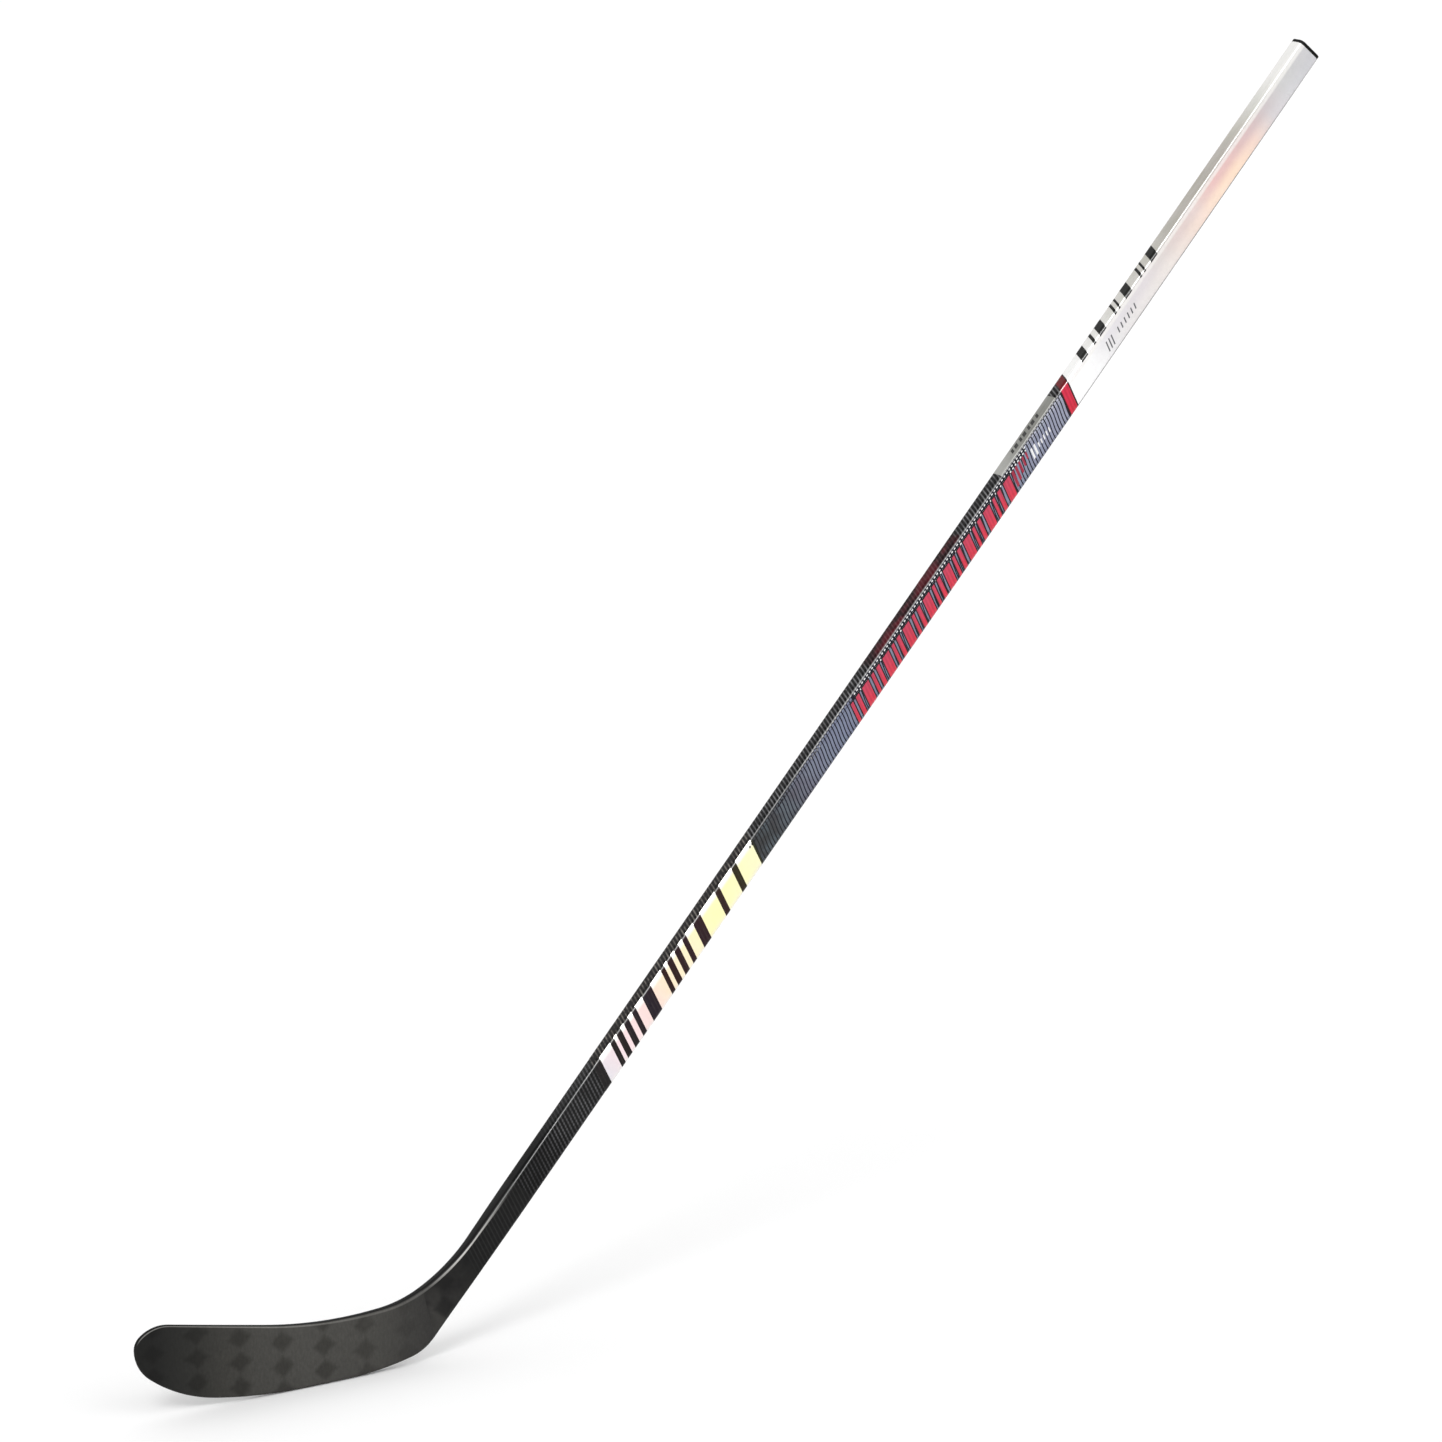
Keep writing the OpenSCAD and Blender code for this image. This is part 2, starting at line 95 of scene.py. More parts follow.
def across(s, out):
    """Place on the shaft's section: towards the back, and towards the forehand side."""
    u = abs(s)
    flat_x = HALF_WIDE - CORNER
    flat_y = HALF_NARROW - CORNER
    radius = CORNER + out
    if u <= S1:
        x, y = -HALF_WIDE - out, u
    elif u <= S2:
        a = (u - S1) / CORNER
        x, y = -flat_x - radius * math.cos(a), flat_y + radius * math.sin(a)
    elif u <= S3:
        x, y = -flat_x + (u - S2), HALF_NARROW + out
    elif u <= S4:
        a = (u - S3) / CORNER
        x, y = flat_x + radius * math.sin(a), flat_y + radius * math.cos(a)
    else:
        x, y = HALF_WIDE + out, S5 - u
    return x, -math.copysign(y, s)


def place(t, s, out):
    x, y = across(s, out)
    return BUTT - UP * (t * MM) + BACK * (x * MM) + FOREHAND * (y * MM)


def slant(s):
    x, y = across(s, 0)
    return LEAN_WIDE * x - LEAN_NARROW * y


CORNER_MARGIN = 0.5


def ladder(low, high, steps=8):
    """Places from low to high, with enough of them on the corners to look round."""
    marks = {low, high}
    for first, last in ((S1, S2), (S3, S4)):
        stops = [first - CORNER_MARGIN, last + CORNER_MARGIN]
        stops += [first + (last - first) * k / steps for k in range(steps + 1)]
        for stop in stops:
            marks.update(v for v in (stop, -stop) if low < v < high)
    return sorted(marks)


RING = ladder(-S5, S5, steps=10)[:-1]

# ---- Mesh helpers ----


def film_rings(places, start, stop, low, high):
    """The section of a film at each place round the shaft, from start to stop."""
    rings = []
    for s in places:
        corners = ((start(s), low), (stop(s), low), (stop(s), high), (start(s), high))
        rings.append([place(t, s, out) for t, out in corners])
    return rings


class Shell:
    """Collects closed skins into the vertices and faces of one mesh."""

    def __init__(self):
        self.points = []
        self.faces = []

    def rings(self, rings, closed=False):
        """A skin through rings of equal length; its ends are capped unless it closes."""
        base = len(self.points)
        n = len(rings[0])
        for ring in rings:
            self.points.extend(ring)
        count = len(rings) if closed else len(rings) - 1
        for r in range(count):
            a = base + r * n
            b = base + ((r + 1) % len(rings)) * n
            for k in range(n):
                m = (k + 1) % n
                self.faces.append((a + k, b + k, b + m, a + m))
        if not closed:
            self.faces.append(tuple(base + k for k in range(n)))
            last = base + (len(rings) - 1) * n
            self.faces.append(tuple(last + k for k in range(n)))

    def strip(self, places, start, stop, low, high):
        """A thin film whose two long edges are functions of the place round the shaft."""
        self.rings(film_rings(places, start, stop, low, high))

    def sleeve(self, start, stop, low, high):
        """A film all round the shaft."""
        self.rings(film_rings(RING, start, stop, low, high), closed=True)

    def bar(self, first, last, low_s, high_s, low, high, steps=6):
        """A slanted bar between two places round the shaft."""
        self.strip(
            ladder(low_s, high_s, steps),
            lambda s: first + slant(s),
            lambda s: last + slant(s),
            low,
            high,
        )

    def both(self, first, last, low_s, high_s, low, high, steps=6):
        """The same slanted bar on the backhand and on the forehand side."""
        self.bar(first, last, low_s, high_s, low, high, steps)
        self.bar(first, last, -high_s, -low_s, low, high, steps)


def add_piece(name, shell, material, replaced=(), sharp=35):
    mesh = bpy.data.meshes.new(name)
    mesh.from_pydata([tuple(p) for p in shell.points], [], shell.faces)
    work = bmesh.new()
    work.from_mesh(mesh)
    bmesh.ops.recalc_face_normals(work, faces=work.faces)
    work.to_mesh(mesh)
    work.free()
    for polygon in mesh.polygons:
        polygon.use_smooth = True
    mesh.set_sharp_from_angle(angle=math.radians(sharp))
    piece = bpy.data.objects.new(name, mesh)
    bpy.context.scene.collection.objects.link(piece)
    mesh.materials.append(material)
    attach(piece, "root")
    if replaced:
        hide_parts(*replaced)
    return piece


# ---- Material helpers ----

COAT_ROUGHNESS = 0.1
GLOSS_SPREAD = 0.08

def srgb(code):
    """A linear colour from a six-figure sRGB code."""
    values = [int(code[i:i + 2], 16) / 255 for i in (0, 2, 4)]
    linear = [v / 12.92 if v <= 0.04045 else ((v + 0.055) / 1.055) ** 2.4 for v in values]
    return (*linear, 1)


class Look:
    """A node material round one Principled shader."""

    def __init__(self, name):
        self.material = bpy.data.materials.new(name)
        self.material.use_nodes = True
        self.tree = self.material.node_tree
        self.shader = self.tree.nodes["Principled BSDF"]
        self.coords = self.tree.nodes.new("ShaderNodeTexCoord").outputs["Object"]
        self.local = None

    def node(self, kind, inputs=(), **settings):
        made = self.tree.nodes.new(kind)
        for key, value in settings.items():
            setattr(made, key, value)
        for key, value in dict(inputs).items():
            self.put(made.inputs[key], value)
        return made

    def put(self, socket, value):
        if isinstance(value, bpy.types.NodeSocket):
            self.tree.links.new(value, socket)
        else:
            socket.default_value = value

    def math(self, operation, a, b=0.0, c=0.0):
        made = self.node("ShaderNodeMath", operation=operation)
        for socket, value in zip(made.inputs, (a, b, c)):
            self.put(socket, value)
        return made.outputs[0]

    def add(self, a, b):
        return self.math("ADD", a, b)

    def times(self, a, b):
        return self.math("MULTIPLY", a, b)

    def step(self, value, low, high):
        """0 below low and 1 above high, or the other way round where high is lower."""
        flip = high < low
        made = self.node("ShaderNodeMapRange", interpolation_type="SMOOTHSTEP")
        self.put(made.inputs["Value"], value)
        made.inputs["From Min"].default_value = min(low, high)
        made.inputs["From Max"].default_value = max(low, high)
        made.inputs["To Min"].default_value = 1.0 if flip else 0.0
        made.inputs["To Max"].default_value = 0.0 if flip else 1.0
        return made.outputs["Result"]

    def scaled(self, value, low, high, to_low=0.0, to_high=1.0):
        made = self.node("ShaderNodeMapRange")
        self.put(made.inputs["Value"], value)
        made.inputs["From Min"].default_value = low
        made.inputs["From Max"].default_value = high
        made.inputs["To Min"].default_value = to_low
        made.inputs["To Max"].default_value = to_high
        return made.outputs["Result"]

    def mix(self, share, a, b, blend="MIX"):
        made = self.node("ShaderNodeMix", data_type="RGBA", blend_type=blend)
        for socket, value in zip((made.inputs[0], made.inputs[6], made.inputs[7]), (share, a, b)):
            if isinstance(value, str):
                value = srgb(value)
            self.put(socket, value)
        return made.outputs[2]

    def ramp(self, value, stops):
        """A colour from (position, sRGB code) stops, the position in the value's unit."""
        low, high = stops[0][0], stops[-1][0]
        made = self.node("ShaderNodeValToRGB")
        self.put(made.inputs[0], self.scaled(value, low, high))
        elements = made.color_ramp.elements
        while len(elements) < len(stops):
            elements.new(0.5)
        for element, (position, code) in zip(elements, stops):
            element.position = (position - low) / (high - low)
            element.color = srgb(code)
        return made.outputs[0]

    def noise(self, scale, detail=3.0, stretch=(1, 1, 1), roughness=0.55):
        """Noise in metres, longer along an axis whose stretch is below one."""
        vector = self.coords
        if stretch != (1, 1, 1):
            made = self.node("ShaderNodeVectorMath", operation="MULTIPLY")
            self.put(made.inputs[0], self.coords)
            made.inputs[1].default_value = stretch
            vector = made.outputs[0]
        made = self.node("ShaderNodeTexNoise")
        self.put(made.inputs["Vector"], vector)
        made.inputs["Scale"].default_value = scale
        made.inputs["Detail"].default_value = detail
        made.inputs["Roughness"].default_value = roughness
        return made.outputs["Fac"]

    def along(self, direction, origin):
        """Distance of the point from an origin along a direction, in millimetres."""
        moved = self.node("ShaderNodeVectorMath", operation="SUBTRACT")
        self.put(moved.inputs[0], self.coords)
        moved.inputs[1].default_value = origin
        made = self.node("ShaderNodeVectorMath", operation="DOT_PRODUCT")
        self.put(made.inputs[0], moved.outputs[0])
        made.inputs[1].default_value = direction / MM
        return made.outputs["Value"]

    def shaft(self):
        """Distance below the butt, and places towards the back and the forehand side."""
        if self.local is None:
            self.local = (
                self.along(-UP, BUTT),
                self.along(BACK, BUTT),
                self.along(FOREHAND, BUTT),
            )
        return self.local

    def slanted(self):
        """Distance below the butt, measured along the slant of the prints."""
        t, x, y = self.shaft()
        return self.add(
            self.math("MULTIPLY_ADD", x, -LEAN_WIDE, t),
            self.times(y, LEAN_NARROW),
        )

    def wide(self, low, high):
        """1 on the wide sides and 0 on the narrow ones, or the other way round."""
        return self.step(self.math("ABSOLUTE", self.shaft()[2]), low, high)

    def waves(self, pitch):
        """A wave from -1 to 1 along the slant of the prints."""
        return self.math("SINE", self.times(self.slanted(), 2 * math.pi / pitch))

    def shaded(self, colour, share):
        """The colour times a grey."""
        grey = self.node("ShaderNodeCombineColor", inputs={0: share, 1: share, 2: share})
        return self.mix(1.0, colour, grey.outputs[0], "MULTIPLY")

    def bump(self, height, strength=0.3, distance=0.0002):
        made = self.node("ShaderNodeBump")
        self.put(made.inputs["Height"], height)
        made.inputs["Strength"].default_value = strength
        made.inputs["Distance"].default_value = distance
        self.put(self.shader.inputs["Normal"], made.outputs["Normal"])

    def finish(self, colour, roughness, specular=0.5, coat=0.0):
        shader = self.shader
        self.put(shader.inputs["Base Color"], srgb(colour) if isinstance(colour, str) else colour)
        self.put(shader.inputs["Roughness"], roughness)
        shader.inputs["Specular IOR Level"].default_value = specular
        shader.inputs["Coat Weight"].default_value = coat
        shader.inputs["Coat Roughness"].default_value = COAT_ROUGHNESS
        return self.material


def worn(look, colour, amount=0.12, scale=260):
    """The colour with fine scuffs and slow patches over it."""
    patches = look.scaled(look.noise(14, 2), 0.3, 0.7, 1 - amount / 2, 1 + amount / 3)
    speckle = look.scaled(look.noise(scale, 4, roughness=0.7), 0.25, 0.75, 1 - amount, 1 + amount)
    return look.shaded(colour, look.times(patches, speckle))


def gloss(look, base=0.22):
    """Roughness that wanders a little, as a hand-rubbed clear coat does."""
    return look.scaled(look.noise(45, 3), 0.3, 0.7, base - GLOSS_SPREAD / 2, base + GLOSS_SPREAD / 2)


# ---- Materials of the shaft ----


def pearl_look():
    look = Look("pearl_print")
    t, x, _ = look.shaft()
    # Pink and peach tones along the shaft: the film's iridescent sheen, painted in as fixed colour
    # over its white.
    cool = look.ramp(t, [(0, "c0c0c2"), (45, "c2c2c2"), (75, "c2b9bb"), (105, "cdb1b0"),
                         (135, "d8b1ab"), (165, "dfb7b3"), (195, "d8c4be"), (225, "d5c4c0"),
                         (255, "d2cbc7"), (285, "d4ced0"), (345, "d7d5d8"), (372, "eeeeee"),
                         (400, "f8f8f8")])
    warm = look.ramp(t, [(0, "c0c0c4"), (45, "c5c5c7"), (75, "c9c4c6"), (105, "e6cabc"),
                         (135, "f1d4bb"), (165, "f0d5be"), (195, "ebd4c6"), (225, "e2d3cb"),
                         (255, "dfd8d1"), (285, "ddd8d5"), (345, "dcdbdb"), (372, "eeeeee"),
                         (400, "f8f8f8")])
    side = look.mix(look.step(x, -5.5, 6.5), cool, warm)
    # The front narrow side: near white at the top, tan-grey further down, then white again: painted
    # reflection and shade of the film.
    edge = look.ramp(t, [(0, "e6e6e3"), (45, "e2e1dd"), (75, "cacac3"), (105, "b6b3aa"),
                         (135, "a19d92"), (195, "a29e94"), (225, "a6a39a"), (262, "b5b3aa"),
                         (320, "c6c5be"), (360, "dcdcd8"), (385, "eeeeec")])
    # A pale band beside the front corner: a painted highlight.
    side = look.mix(look.times(look.step(x, -7.2, -9.6), 0.7), side, "e9e7e3")
    colour = look.mix(look.wide(8.0, 9.0), edge, side)
    # seam here is painted shade: the back corner and back narrow side darken along the shaft where
    # they turn away from the light.
    seam = look.ramp(t, [(0, "8f8e8d"), (60, "63605f"), (130, "33302e"), (300, "454240"),
                         (407, "63615f")])
    colour = look.mix(look.step(x, 10.9, 11.6), colour, seam)
    shimmer = look.scaled(look.noise(30, 2, (1, 2.5, 1)), 0.35, 0.65)
    colour = look.mix(look.times(shimmer, 0.1), colour, "f4e9f6")
    colour = worn(look, colour, 0.035)
    look.bump(look.noise(900, 2), 0.05, 0.0001)
    return look.finish(colour, gloss(look, 0.2), 0.5, 0.35)


def red_look(name, narrow, wide):
    look = Look(name)
    _, x, _ = look.shaft()
    side = look.mix(look.step(x, -6, 10), wide[0], wide[1])
    # The narrow sides take a much darker red than the wide ones: painted shade.
    colour = look.mix(look.wide(6.8, 8.2), narrow, side)
    grain = look.scaled(look.waves(STRIPE_PITCH), -1, 1, 0.84, 1.06)
    colour = worn(look, look.shaded(colour, grain), 0.08)
    look.bump(look.noise(700, 3), 0.06, 0.0001)
    return look, colour


def band_look():
    # The narrow-side red here is a painted shade of the band's red.
    look, colour = red_look("red_band", "66040f", ("cd2a46", "ca283d"))
    centre = look.math("ABSOLUTE", look.add(look.slanted(), -BAND_MIDDLE))
    rim = look.step(centre, BAND_LENGTH / 2 - 2, BAND_LENGTH / 2 - 1.4)
    colour = look.mix(rim, colour, "2b1013")
    return look.finish(colour, gloss(look), 0.2, 0.05)


def red_mark_look():
    # The narrow-side red here is a painted shade of the marks' red.
    look, colour = red_look("red_marks", "7c0712", ("c03653", "cd2b42"))
    return look.finish(colour, gloss(look), 0.3, 0.2)


def stripe_ground_look():
    """Ground of the pinstripe zone: blue-black on the wide sides, and on the narrow
    ones black, then dark red patches, then carbon with slanted bars."""
    look = Look("stripe_ground")
    t, _, _ = look.shaft()
    wave = look.waves(STRIPE_PITCH)
    bars = look.times(look.scaled(wave, 0.1, 0.9), look.scaled(look.noise(90, 2), 0.35, 0.6, 0.3, 1))
    black = look.mix(bars, "0b0b0c", "727274")
    red = look.ramp(look.noise(45, 2), [(0.38, "090102"), (0.5, "1e0308"), (0.62, "4c0916")])
    reddened = look.mix(look.times(bars, 0.17), red, "96747a")
    zone = look.times(look.step(t, 583, 592), look.step(t, 742, 734))
    narrow = look.mix(zone, black, reddened)
    wide = look.mix(look.step(t, 880, 930), "1d1e28", "242526")
    colour = look.mix(look.wide(7.4, 8.2), narrow, wide)
    colour = worn(look, colour, 0.1)
    look.bump(bars, 0.08, 0.0001)
    return look.finish(colour, gloss(look, 0.28), 0.09)


def silver_look():
    look = Look("silver_stripes")
    t, x, _ = look.shaft()
    body = look.ramp(t, [(415, "9496aa"), (520, "80839a"), (690, "777a90"), (800, "747890"),
                         (845, "717587"), (868, "605d6b"), (890, "4a4a50"), (918, "343537")])
    corner = look.times(look.step(x, -6.5, -10.5), look.step(t, 520, 450))
    lit = look.mix(look.times(corner, 0.5), body, "c9cad6")
    shimmer = look.scaled(look.noise(60, 3), 0.35, 0.65)
    colour = look.mix(look.times(shimmer, 0.22), lit, "7d93a0")
    colour = worn(look, colour, 0.1)
    look.bump(look.noise(800, 3), 0.08, 0.0001)
    return look.finish(colour, gloss(look, 0.3), 0.25, 0.1)


def ink_look(name, code, variation=0.1, specular=0.2, coat=0.05):
    look = Look(name)
    colour = look.mix(look.scaled(look.noise(35, 3), 0.35, 0.65, 0, variation), code, "808080")
    colour = worn(look, colour, variation)
    look.bump(look.noise(700, 3), 0.06, 0.0001)
    return look.finish(colour, gloss(look, 0.25), specular, coat)


def corner_line_look():
    """White line that is brighter at each tick and fades out down the shaft."""
    look = Look("corner_white")
    t, _, _ = look.shaft()
    beads = look.scaled(look.waves(STRIPE_PITCH), -0.6, 0.8)
    colour = look.mix(look.step(t, 830, 880), look.mix(beads, "545456", "a6a6a8"), "262628")
    colour = worn(look, colour, 0.08)
    look.bump(look.noise(700, 3), 0.06, 0.0001)
    return look.finish(colour, gloss(look, 0.25), 0.08)


def label_look():
    look = Look("side_label")
    t, _, y = look.shaft()
    line = look.step(look.math("ABSOLUTE", y), LABEL_EDGE - 0.9, LABEL_EDGE - 0.5)
    brushed = look.scaled(look.noise(240, 3, (0.12, 1, 0.12)), 0.35, 0.65)
    colour = look.mix(brushed, "767671", "888883")
    colour = look.mix(look.times(look.step(t, 470, 510), 0.55), colour, "b4b4b0")
    colour = look.mix(line, colour, "b9b9b4")
    colour = worn(look, colour, 0.08)
    look.bump(brushed, 0.1, 0.0001)
    return look.finish(colour, gloss(look, 0.3), 0.3, 0.15)


def foil_ground_look():
    look = Look("foil_ground")
    t, _, _ = look.shaft()
    wave = look.waves(WEAVE_PITCH)
    bars = look.times(look.scaled(wave, 0, 1), look.scaled(look.noise(120, 2), 0.35, 0.65))
    tint = look.ramp(t, [(930, "33341f"), (965, "2e2a17"), (1000, "2f1d1b"), (1045, "2a1720"),
                         (1085, "2b1513"), (1115, "221a24"), (1160, "1d1617"), (1205, "1e1d1e")])
    wide = look.mix(look.times(bars, 0.25), tint, "47403c")
    narrow = look.mix(bars, "121011", "75706a")
    colour = look.mix(look.wide(7.0, 8.0), narrow, wide)
    colour = worn(look, colour, 0.1)
    look.bump(bars, 0.08, 0.0001)
    return look.finish(colour, gloss(look, 0.28), 0.12)


def foil_look():
    """Iridescent foil: yellow, then cream and peach, then pink and grey-white."""
    look = Look("foil_print")
    t, x, _ = look.shaft()
    body = look.ramp(t, [(938, "f2f3c0"), (975, "f6f4b4"), (1010, "f7f4ae"), (1050, "f6e9bc"),
                         (1090, "f6e0bf"), (1118, "f0d4cd"), (1160, "ecd4d8"), (1195, "dad8de")])
    # Paler over the front corner: a painted highlight.
    corner_highlit = look.mix(look.step(x, -7.5, -12.0), body, "fdfdf6")
    back = look.mix(look.times(look.step(x, 7, 13), 0.6), corner_highlit, "efeee8")
    shimmer = look.scaled(look.noise(26, 2), 0.35, 0.65)
    colour = look.mix(look.times(shimmer, 0.16), back, "f8dfe2")
    colour = worn(look, colour, 0.03)
    look.bump(look.noise(600, 2), 0.05, 0.0001)
    return look.finish(colour, gloss(look, 0.2), 0.5, 0.35)


CROSS_PITCH = 3.1


def carbon_look():
    """Woven outer ply of the lower shaft: slanted bars of lighter tows."""
    look = Look("carbon_weave")
    t, x, y = look.shaft()
    wave = look.waves(WEAVE_PITCH)
    cross = look.math("SINE", look.times(look.add(x, y), 2 * math.pi / CROSS_PITCH))
    tows = look.scaled(look.add(wave, look.times(cross, 0.35)), -0.2, 1.3)
    tows = look.times(tows, look.scaled(look.noise(70, 3), 0.3, 0.65, 0.35, 1))
    fade = look.step(t, 1300, 1245)
    tows = look.times(tows, look.scaled(fade, 0, 1, 0.4, 1))
    dark = look.mix(look.step(t, 1240, 1275), "171717", "0d0d0d")
    colour = look.mix(tows, dark, "5a5a5c")
    # The narrow sides are painted near black from t 1190 down: painted shade.
    colour = look.mix(look.times(look.wide(8.6, 7.4), look.step(t, 1190, 1300)), colour, "050506")
    colour = worn(look, colour, 0.12)
    look.bump(tows, 0.12, 0.00015)
    return look.finish(colour, gloss(look, 0.25), 0.09)


def cap_look():
    look = Look("cap_plastic")
    grain = look.noise(1500, 3)
    colour = worn(look, look.mix(look.scaled(grain, 0.3, 0.7), "040404", "090909"), 0.15)
    look.bump(grain, 0.35, 0.0002)
    return look.finish(colour, look.scaled(look.noise(60, 3), 0.3, 0.7, 0.5, 0.65), 0.1)


# ---- Materials of the hosel and blade ----


DIAMOND_PITCH_X = 41.2
DIAMOND_PITCH_Z = 23.5
DIAMOND_X = -38.5
DIAMOND_Z = 2.0
DIAMOND_HALF_X = 12.5
DIAMOND_HALF_Z = 11.5
DIAMOND_WOBBLE = 0.12


def diamonds(look, x, z):
    """1 inside soft diamonds that stand in staggered columns of the blade's plane."""
    across_all = look.add(x, -DIAMOND_X)
    column = look.math("ROUND", look.times(across_all, 1 / DIAMOND_PITCH_X))
    from_column = look.math("MULTIPLY_ADD", column, -DIAMOND_PITCH_X, across_all)
    odd = look.math("ABSOLUTE", look.math("MODULO", column, 2.0))
    height = look.math("MULTIPLY_ADD", odd, -DIAMOND_PITCH_Z / 2, look.add(z, -DIAMOND_Z))
    row = look.math("ROUND", look.times(height, 1 / DIAMOND_PITCH_Z))
    from_row = look.math("MULTIPLY_ADD", row, -DIAMOND_PITCH_Z, height)
    size = look.add(
        look.times(look.math("ABSOLUTE", from_column), 1 / DIAMOND_HALF_X),
        look.times(look.math("ABSOLUTE", from_row), 1 / DIAMOND_HALF_Z),
    )
    wobble = look.scaled(look.noise(80, 2), 0.3, 0.7, -DIAMOND_WOBBLE, DIAMOND_WOBBLE)
    return look.step(look.add(size, wobble), 1.25, 0.5)


def blade_plane(look):
    """Places along the ice and above it, in millimetres."""
    zero = Vector((0, 0, 0))
    return look.along(Vector((1, 0, 0)), zero), look.along(Vector((0, 0, 1)), zero)


def paint_rim_light_and_shade(look, colour, share, code):
    """A painted highlight along the shoulders that face up, and painted shade on the outer edge."""
    normal = look.node("ShaderNodeNewGeometry").outputs["Normal"]
    parts = look.node("ShaderNodeSeparateXYZ", inputs={0: normal}).outputs
    facing = look.math("ABSOLUTE", parts["Y"])
    shoulder = look.times(look.step(facing, 0.62, 0.76), look.step(facing, 0.97, 0.9))
    line = look.times(shoulder, look.step(parts["Z"], 0.16, 0.34))
    colour = look.mix(look.times(line, share), colour, code)
    return look.mix(look.step(facing, 0.56, 0.4), colour, "070707")


def hosel_look():
    """The weave of the shaft fades into smooth laminate with soft facets."""
    look = Look("hosel_carbon")
    t, _, _ = look.shaft()
    x, z = blade_plane(look)
    grain = look.noise(420, 4, (0.5, 1, 0.5))
    patches = look.scaled(look.noise(32, 3), 0.42, 0.66)
    wave = look.waves(WEAVE_PITCH)
    tows = look.times(look.scaled(wave, 0.1, 1), look.step(look.slanted(), 1412, 1396))
    colour = look.mix(look.scaled(grain, 0.3, 0.7), "0d0d0d", "151515")
    colour = look.mix(look.times(tows, 0.55), colour, "2b2b2b")
    near_blade = look.step(t, 1395, 1470)
    colour = look.mix(near_blade, colour, look.mix(patches, "343331", "201f1f"))
    facets = look.times(diamonds(look, x, z), look.step(t, 1380, 1440))
    colour = look.mix(look.times(facets, 0.7), colour, "101010")
    # Share of a painted highlight along the hosel's upward shoulder, fading out towards the blade.
    gleam = look.times(look.step(t, 1330, 1400), look.scaled(t, 1408, 1448, 1, 0.14))
    colour = paint_rim_light_and_shade(look, colour, gleam, "b4b2ae")
    colour = worn(look, colour, 0.12)
    look.bump(grain, 0.18, 0.00015)
    return look.finish(colour, gloss(look, 0.34), 0.12)


def blade_look(name, rim=False):
    """Matte spread tow: soft darker diamonds in staggered columns, fine fibres."""
    look = Look(name)
    x, z = blade_plane(look)
    diamond = look.times(diamonds(look, x, z), look.step(x, 150, 0))
    grain = look.noise(520, 4, (1, 1, 0.35))
    # Body tone darker towards the toe and slightly at the heel: painted shade of the blade's curve.
    body = look.ramp(x, [(-178, "161615"), (-155, "1c1c1b"), (-130, "262624"), (-95, "363532"),
                         (-61, "41403d"), (-15, "454441"), (54, "42413e"), (83, "3a3937"),
                         (112, "2f2e2d")])
    dark = look.mix(1.0, body, "a6a4a0", "MULTIPLY")
    colour = look.mix(look.times(diamond, 0.62), body, dark)
    if rim:
        # Painted highlight on the rim's upward shoulder, stronger towards the toe, with painted shade
        # on the outer edge.
        rim_highlight_share = look.scaled(x, -60, 50, 0.5, 0.2)
        colour = paint_rim_light_and_shade(look, colour, rim_highlight_share, "8b8985")
    fibre = look.scaled(grain, 0.3, 0.7, 0.9, 1.1)
    colour = worn(look, look.shaded(colour, fibre), 0.1, 400)
    look.bump(look.add(look.times(diamond, 0.6), look.times(grain, 0.4)), 0.22, 0.00015)
    rough = look.scaled(diamond, 0, 1, 0.56, 0.46)
    return look.finish(colour, rough, 0.12)


def core_look(name, codes, scale, bump=0.3):
    look = Look(name)
    cells = look.node("ShaderNodeTexVoronoi")
    look.put(cells.inputs["Vector"], look.coords)
    cells.inputs["Scale"].default_value = scale
    colour = look.mix(look.scaled(look.noise(30, 4), 0.3, 0.7), codes[0], codes[1])
    look.bump(cells.outputs["Distance"], bump, 0.0004)
    return look.finish(worn(look, colour, 0.12), look.scaled(look.noise(90), 0.3, 0.7, 0.55, 0.8))


# ---- Outline of the blade: the same chain of lines and arcs as the CAD part ----

REFINE = 3
EDGE_ARC_STEPS = 8
HEEL = (47.5, -34, 9)
BACK_ROCKER = (310, -(LIE + HEEL[1]), 6)
SOLE_FLAT = (48.5, 0, 3)
FRONT_ROCKER = (440, -10.5, 6)
TOE_RISE = (130.5, -29.5, 8)
TOE_LOW = (39, -(90 + FRONT_ROCKER[1] + TOE_RISE[1]), 6)
TOE_HIGH = (17, -50, 6)
TOP_EDGE_RISE = 11.3
TOP_NOSE = (32, -(90 + TOP_EDGE_RISE + TOE_HIGH[1]), 4)
TOP_BLEND = (440, 15.2, 6)
TOP_LINE_STEPS = 9
SEAM_TURN = 22
BLADE_BEND = (118, LIE + TOP_EDGE_RISE - TOP_BLEND[1] - SEAM_TURN, 13)
HOSEL_BEND = (180, SEAM_TURN, 8)
HOSEL_LINE_STEPS = 12
SEAM_THICKNESS = 12.5
TOE_THICKNESS = 5.6
THINNING = 1.5
EDGE_SHARE = 0.38
TOE_CURVE = 15
TOE_LOFT = math.tan(math.radians(4))
LOFT_HEIGHT = 32
RAIL_WIDTH = 7
FACE_PLY = 1.1
HOSEL_WALL = 2.3


def heading(angle):
    return Vector((math.cos(math.radians(angle)), math.sin(math.radians(angle))))


def left_of(angle):
    return Vector((-math.sin(math.radians(angle)), math.cos(math.radians(angle))))


def advance(step, angle, share=1.0):
    size, turn = step[0], step[1]
    if turn == 0:
        return heading(angle) * (size * share)
    return (left_of(angle) - left_of(angle + turn * share)) * math.copysign(size, turn)


def chain_points(chain, start, angle):
    """Every point of a chain of lines and arcs after its start, with the heading there."""
    points = []
    for step in chain:
        count = step[2] * REFINE
        for i in range(1, count + 1):
            share = i / count
            points.append((start + advance(step, angle, share), angle + step[1] * share))
        start = start + advance(step, angle)
        angle += step[1]
    return points


